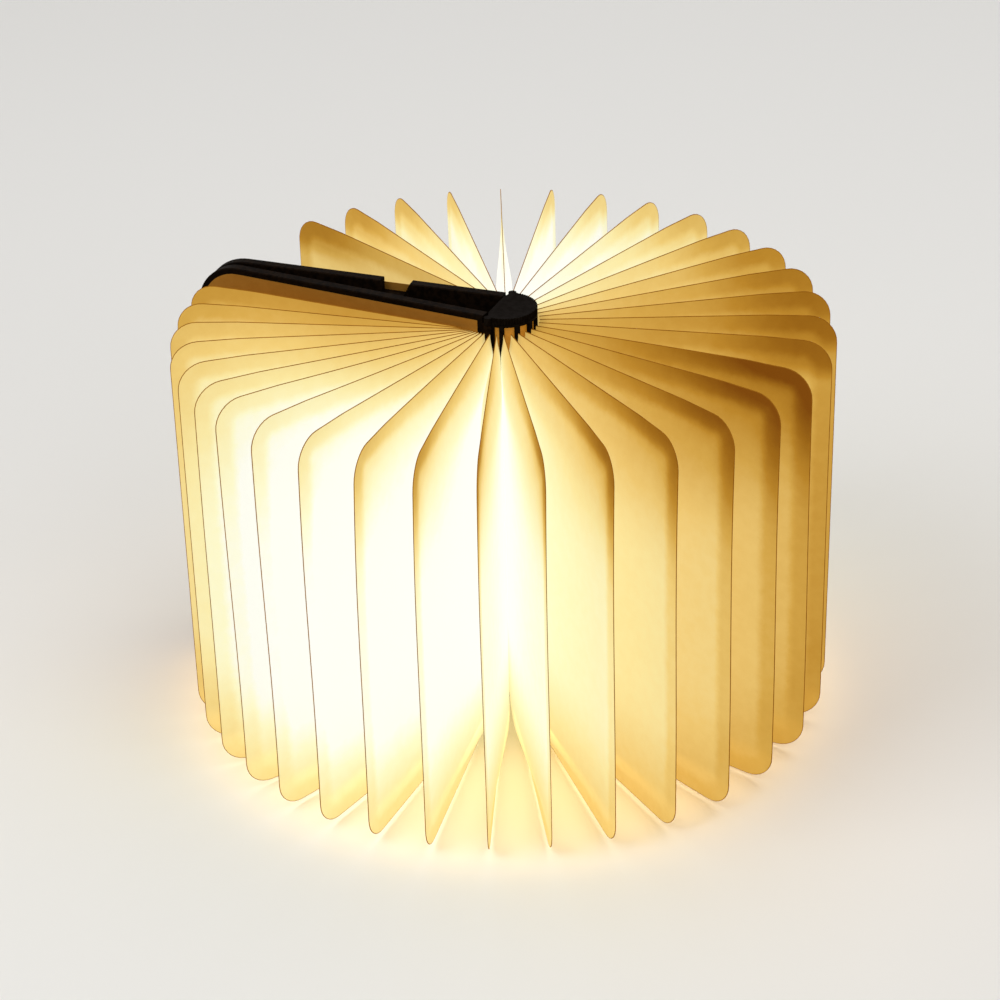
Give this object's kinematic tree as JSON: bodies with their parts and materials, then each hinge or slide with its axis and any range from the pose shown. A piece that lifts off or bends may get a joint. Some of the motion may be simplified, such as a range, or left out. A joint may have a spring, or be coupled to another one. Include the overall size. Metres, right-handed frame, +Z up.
{
  "type": "folding book lamp",
  "caption": "Rechargeable lamp shaped like a book. Its covers fold right round back to back, and the paper leaves between them fan out around a lit core.",
  "frame": {"origin": "on the floor, under the line that the open leaves radiate from, at the middle of the core's flat back and 1 mm in front of it, on the underside of the bottom cap", "axes": "+X out of the core's round nose, with the open covers back to back along -X; +Z up; the front cover, nearer the picture's camera, on the -Y side"},
  "size_m": [0.3261, 0.3219, 0.215],
  "materials": {
    "leaf_paper": "warm white, translucent, matt",
    "end_paper": "warm white, matt",
    "cover_cloth": "very dark brown, matt",
    "cover_core_board": "grey-brown pressed board",
    "magnet_steel": "nickel plated",
    "pin_steel": "ground steel",
    "core_plastic": "black, satin",
    "diffuser_plastic": "milky, translucent",
    "screw_steel": "zinc plated",
    "carrier_aluminium": "mill finish",
    "led_board": "white lacquered board",
    "led_lens": "yellow phosphor",
    "battery_wrap": "blue shrink wrap",
    "control_board": "green lacquered board",
    "socket_steel": "stainless shell",
    "sensor_plastic": "black moulding"
  },
  "bodies": {
    "core": {"top_cap": "core_plastic", "core_frame": "core_plastic", "diffuser": "diffuser_plastic", "spine_plate": "core_plastic", "spine_screws": "screw_steel", "bottom_cap": "core_plastic", "base_screws": "screw_steel", "led_carrier": "carrier_aluminium", "front_led_board": "led_board", "back_led_board": "led_board", "front_leds": "led_lens", "back_leds": "led_lens", "battery": "battery_wrap", "control_board": "control_board", "charging_socket": "socket_steel", "cover_sensor": "sensor_plastic"},
    "front_cover": {"front_cover": "cover_cloth", "front_board": "cover_core_board", "front_magnets": "magnet_steel", "front_endpaper": "end_paper", "front_hinge_pin": "pin_steel"},
    "back_cover": {"back_cover": "cover_cloth", "back_board": "cover_core_board", "back_magnets": "magnet_steel", "back_endpaper": "end_paper", "back_hinge_pin": "pin_steel"},
    "leaf_front_01": {"leaf_front_01": "leaf_paper"},
    "leaf_front_02": {"leaf_front_02": "leaf_paper"},
    "leaf_front_03": {"leaf_front_03": "leaf_paper"},
    "leaf_front_04": {"leaf_front_04": "leaf_paper"},
    "leaf_front_05": {"leaf_front_05": "leaf_paper"},
    "leaf_front_06": {"leaf_front_06": "leaf_paper"},
    "leaf_front_07": {"leaf_front_07": "leaf_paper"},
    "leaf_front_08": {"leaf_front_08": "leaf_paper"},
    "leaf_front_09": {"leaf_front_09": "leaf_paper"},
    "leaf_front_10": {"leaf_front_10": "leaf_paper"},
    "leaf_front_11": {"leaf_front_11": "leaf_paper"},
    "leaf_front_12": {"leaf_front_12": "leaf_paper"},
    "leaf_front_13": {"leaf_front_13": "leaf_paper"},
    "leaf_front_14": {"leaf_front_14": "leaf_paper"},
    "leaf_front_15": {"leaf_front_15": "leaf_paper"},
    "leaf_front_16": {"leaf_front_16": "leaf_paper"},
    "leaf_front_17": {"leaf_front_17": "leaf_paper"},
    "leaf_front_18": {"leaf_front_18": "leaf_paper"},
    "leaf_back_01": {"leaf_back_01": "leaf_paper"},
    "leaf_back_02": {"leaf_back_02": "leaf_paper"},
    "leaf_back_03": {"leaf_back_03": "leaf_paper"},
    "leaf_back_04": {"leaf_back_04": "leaf_paper"},
    "leaf_back_05": {"leaf_back_05": "leaf_paper"},
    "leaf_back_06": {"leaf_back_06": "leaf_paper"},
    "leaf_back_07": {"leaf_back_07": "leaf_paper"},
    "leaf_back_08": {"leaf_back_08": "leaf_paper"},
    "leaf_back_09": {"leaf_back_09": "leaf_paper"},
    "leaf_back_10": {"leaf_back_10": "leaf_paper"},
    "leaf_back_11": {"leaf_back_11": "leaf_paper"},
    "leaf_back_12": {"leaf_back_12": "leaf_paper"},
    "leaf_back_13": {"leaf_back_13": "leaf_paper"},
    "leaf_back_14": {"leaf_back_14": "leaf_paper"},
    "leaf_back_15": {"leaf_back_15": "leaf_paper"}
  },
  "joints": [
    {"name": "front_cover_hinge", "type": "hinge", "parent": "core", "child": "front_cover", "pos_m": [0.001, -0.01527, 0], "axis": [0, 0, 1], "range_deg": [0, 183.19]},
    {"name": "back_cover_hinge", "type": "hinge", "parent": "core", "child": "back_cover", "pos_m": [0.001, 0.01527, 0], "axis": [0, 0, 1], "range_deg": [-183.19, 0]},
    {"name": "leaf_front_01_turn", "type": "hinge", "parent": "core", "child": "leaf_front_01", "pos_m": [-0.01379, 0.00053, 0], "axis": [0, 0, 1], "range_deg": [0, 3.66]},
    {"name": "leaf_front_02_turn", "type": "hinge", "parent": "core", "child": "leaf_front_02", "pos_m": [0.00005, 0.00037, 0], "axis": [0, 0, 1], "range_deg": [0, 15.24]},
    {"name": "leaf_front_03_turn", "type": "hinge", "parent": "core", "child": "leaf_front_03", "pos_m": [0.00201, 0.0002, 0], "axis": [0, 0, 1], "range_deg": [0, 26.64]},
    {"name": "leaf_front_04_turn", "type": "hinge", "parent": "core", "child": "leaf_front_04", "pos_m": [0.00286, -0.00002, 0], "axis": [0, 0, 1], "range_deg": [0, 37.86]},
    {"name": "leaf_front_05_turn", "type": "hinge", "parent": "core", "child": "leaf_front_05", "pos_m": [0.00338, -0.00027, 0], "axis": [0, 0, 1], "range_deg": [0, 48.91]},
    {"name": "leaf_front_06_turn", "type": "hinge", "parent": "core", "child": "leaf_front_06", "pos_m": [0.00375, -0.00056, 0], "axis": [0, 0, 1], "range_deg": [0, 59.78]},
    {"name": "leaf_front_07_turn", "type": "hinge", "parent": "core", "child": "leaf_front_07", "pos_m": [0.00403, -0.00091, 0], "axis": [0, 0, 1], "range_deg": [0, 70.48]},
    {"name": "leaf_front_08_turn", "type": "hinge", "parent": "core", "child": "leaf_front_08", "pos_m": [0.00423, -0.0013, 0], "axis": [0, 0, 1], "range_deg": [0, 81.01]},
    {"name": "leaf_front_09_turn", "type": "hinge", "parent": "core", "child": "leaf_front_09", "pos_m": [0.00445, -0.00187, 0], "axis": [0, 0, 1], "range_deg": [0, 91.36]},
    {"name": "leaf_front_10_turn", "type": "hinge", "parent": "core", "child": "leaf_front_10", "pos_m": [0.00494, -0.00328, 0], "axis": [0, 0, 1], "range_deg": [0, 101.53]},
    {"name": "leaf_front_11_turn", "type": "hinge", "parent": "core", "child": "leaf_front_11", "pos_m": [0.0052, -0.00464, 0], "axis": [0, 0, 1], "range_deg": [0, 111.53]},
    {"name": "leaf_front_12_turn", "type": "hinge", "parent": "core", "child": "leaf_front_12", "pos_m": [0.00528, -0.00597, 0], "axis": [0, 0, 1], "range_deg": [0, 121.35]},
    {"name": "leaf_front_13_turn", "type": "hinge", "parent": "core", "child": "leaf_front_13", "pos_m": [0.00523, -0.00729, 0], "axis": [0, 0, 1], "range_deg": [0, 131]},
    {"name": "leaf_front_14_turn", "type": "hinge", "parent": "core", "child": "leaf_front_14", "pos_m": [0.00505, -0.00863, 0], "axis": [0, 0, 1], "range_deg": [0, 140.47]},
    {"name": "leaf_front_15_turn", "type": "hinge", "parent": "core", "child": "leaf_front_15", "pos_m": [0.00476, -0.00997, 0], "axis": [0, 0, 1], "range_deg": [0, 149.77]},
    {"name": "leaf_front_16_turn", "type": "hinge", "parent": "core", "child": "leaf_front_16", "pos_m": [0.00437, -0.01135, 0], "axis": [0, 0, 1], "range_deg": [0, 158.89]},
    {"name": "leaf_front_17_turn", "type": "hinge", "parent": "core", "child": "leaf_front_17", "pos_m": [0.0039, -0.01276, 0], "axis": [0, 0, 1], "range_deg": [0, 167.84]},
    {"name": "leaf_front_18_turn", "type": "hinge", "parent": "core", "child": "leaf_front_18", "pos_m": [0.00333, -0.01421, 0], "axis": [0, 0, 1], "range_deg": [0, 176.61]},
    {"name": "leaf_back_01_turn", "type": "hinge", "parent": "core", "child": "leaf_back_01", "pos_m": [0.01361, 0.0007, 0], "axis": [0, 0, 1], "range_deg": [-7.42, 0]},
    {"name": "leaf_back_02_turn", "type": "hinge", "parent": "core", "child": "leaf_back_02", "pos_m": [0.00847, 0.00088, 0], "axis": [0, 0, 1], "range_deg": [-17.86, 0]},
    {"name": "leaf_back_03_turn", "type": "hinge", "parent": "core", "child": "leaf_back_03", "pos_m": [0.00714, 0.00109, 0], "axis": [0, 0, 1], "range_deg": [-28.36, 0]},
    {"name": "leaf_back_04_turn", "type": "hinge", "parent": "core", "child": "leaf_back_04", "pos_m": [0.00655, 0.00132, 0], "axis": [0, 0, 1], "range_deg": [-38.89, 0]},
    {"name": "leaf_back_05_turn", "type": "hinge", "parent": "core", "child": "leaf_back_05", "pos_m": [0.00622, 0.00158, 0], "axis": [0, 0, 1], "range_deg": [-49.47, 0]},
    {"name": "leaf_back_06_turn", "type": "hinge", "parent": "core", "child": "leaf_back_06", "pos_m": [0.00602, 0.00188, 0], "axis": [0, 0, 1], "range_deg": [-60.09, 0]},
    {"name": "leaf_back_07_turn", "type": "hinge", "parent": "core", "child": "leaf_back_07", "pos_m": [0.00587, 0.00223, 0], "axis": [0, 0, 1], "range_deg": [-70.76, 0]},
    {"name": "leaf_back_08_turn", "type": "hinge", "parent": "core", "child": "leaf_back_08", "pos_m": [0.00575, 0.00262, 0], "axis": [0, 0, 1], "range_deg": [-81.48, 0]},
    {"name": "leaf_back_09_turn", "type": "hinge", "parent": "core", "child": "leaf_back_09", "pos_m": [0.00573, 0.00328, 0], "axis": [0, 0, 1], "range_deg": [-92.23, 0]},
    {"name": "leaf_back_10_turn", "type": "hinge", "parent": "core", "child": "leaf_back_10", "pos_m": [0.00599, 0.00474, 0], "axis": [0, 0, 1], "range_deg": [-103.03, 0]},
    {"name": "leaf_back_11_turn", "type": "hinge", "parent": "core", "child": "leaf_back_11", "pos_m": [0.00602, 0.00617, 0], "axis": [0, 0, 1], "range_deg": [-113.88, 0]},
    {"name": "leaf_back_12_turn", "type": "hinge", "parent": "core", "child": "leaf_back_12", "pos_m": [0.00589, 0.0076, 0], "axis": [0, 0, 1], "range_deg": [-124.77, 0]},
    {"name": "leaf_back_13_turn", "type": "hinge", "parent": "core", "child": "leaf_back_13", "pos_m": [0.0056, 0.00905, 0], "axis": [0, 0, 1], "range_deg": [-135.71, 0]},
    {"name": "leaf_back_14_turn", "type": "hinge", "parent": "core", "child": "leaf_back_14", "pos_m": [0.00517, 0.01055, 0], "axis": [0, 0, 1], "range_deg": [-146.69, 0]},
    {"name": "leaf_back_15_turn", "type": "hinge", "parent": "core", "child": "leaf_back_15", "pos_m": [0.00461, 0.0121, 0], "axis": [0, 0, 1], "range_deg": [-157.71, 0]}
  ],
  "couplings": [
    {"joint": "leaf_front_01_turn", "follows": "front_cover_hinge", "ratio": 0.019941},
    {"joint": "leaf_front_02_turn", "follows": "front_cover_hinge", "ratio": 0.083125},
    {"joint": "leaf_front_03_turn", "follows": "front_cover_hinge", "ratio": 0.14535},
    {"joint": "leaf_front_04_turn", "follows": "front_cover_hinge", "ratio": 0.20663},
    {"joint": "leaf_front_05_turn", "follows": "front_cover_hinge", "ratio": 0.26694},
    {"joint": "leaf_front_06_turn", "follows": "front_cover_hinge", "ratio": 0.3263},
    {"joint": "leaf_front_07_turn", "follows": "front_cover_hinge", "ratio": 0.3847},
    {"joint": "leaf_front_08_turn", "follows": "front_cover_hinge", "ratio": 0.44215},
    {"joint": "leaf_front_09_turn", "follows": "front_cover_hinge", "ratio": 0.49864},
    {"joint": "leaf_front_10_turn", "follows": "front_cover_hinge", "ratio": 0.55418},
    {"joint": "leaf_front_11_turn", "follows": "front_cover_hinge", "ratio": 0.60876},
    {"joint": "leaf_front_12_turn", "follows": "front_cover_hinge", "ratio": 0.66238},
    {"joint": "leaf_front_13_turn", "follows": "front_cover_hinge", "ratio": 0.71505},
    {"joint": "leaf_front_14_turn", "follows": "front_cover_hinge", "ratio": 0.76676},
    {"joint": "leaf_front_15_turn", "follows": "front_cover_hinge", "ratio": 0.81751},
    {"joint": "leaf_front_16_turn", "follows": "front_cover_hinge", "ratio": 0.86731},
    {"joint": "leaf_front_17_turn", "follows": "front_cover_hinge", "ratio": 0.91615},
    {"joint": "leaf_front_18_turn", "follows": "front_cover_hinge", "ratio": 0.96404},
    {"joint": "leaf_back_01_turn", "follows": "back_cover_hinge", "ratio": 0.040433},
    {"joint": "leaf_back_02_turn", "follows": "back_cover_hinge", "ratio": 0.09746},
    {"joint": "leaf_back_03_turn", "follows": "back_cover_hinge", "ratio": 0.15473},
    {"joint": "leaf_back_04_turn", "follows": "back_cover_hinge", "ratio": 0.21224},
    {"joint": "leaf_back_05_turn", "follows": "back_cover_hinge", "ratio": 0.27},
    {"joint": "leaf_back_06_turn", "follows": "back_cover_hinge", "ratio": 0.32799},
    {"joint": "leaf_back_07_turn", "follows": "back_cover_hinge", "ratio": 0.38623},
    {"joint": "leaf_back_08_turn", "follows": "back_cover_hinge", "ratio": 0.44471},
    {"joint": "leaf_back_09_turn", "follows": "back_cover_hinge", "ratio": 0.50344},
    {"joint": "leaf_back_10_turn", "follows": "back_cover_hinge", "ratio": 0.5624},
    {"joint": "leaf_back_11_turn", "follows": "back_cover_hinge", "ratio": 0.62161},
    {"joint": "leaf_back_12_turn", "follows": "back_cover_hinge", "ratio": 0.68106},
    {"joint": "leaf_back_13_turn", "follows": "back_cover_hinge", "ratio": 0.74075},
    {"joint": "leaf_back_14_turn", "follows": "back_cover_hinge", "ratio": 0.80069},
    {"joint": "leaf_back_15_turn", "follows": "back_cover_hinge", "ratio": 0.86086}
  ]
}
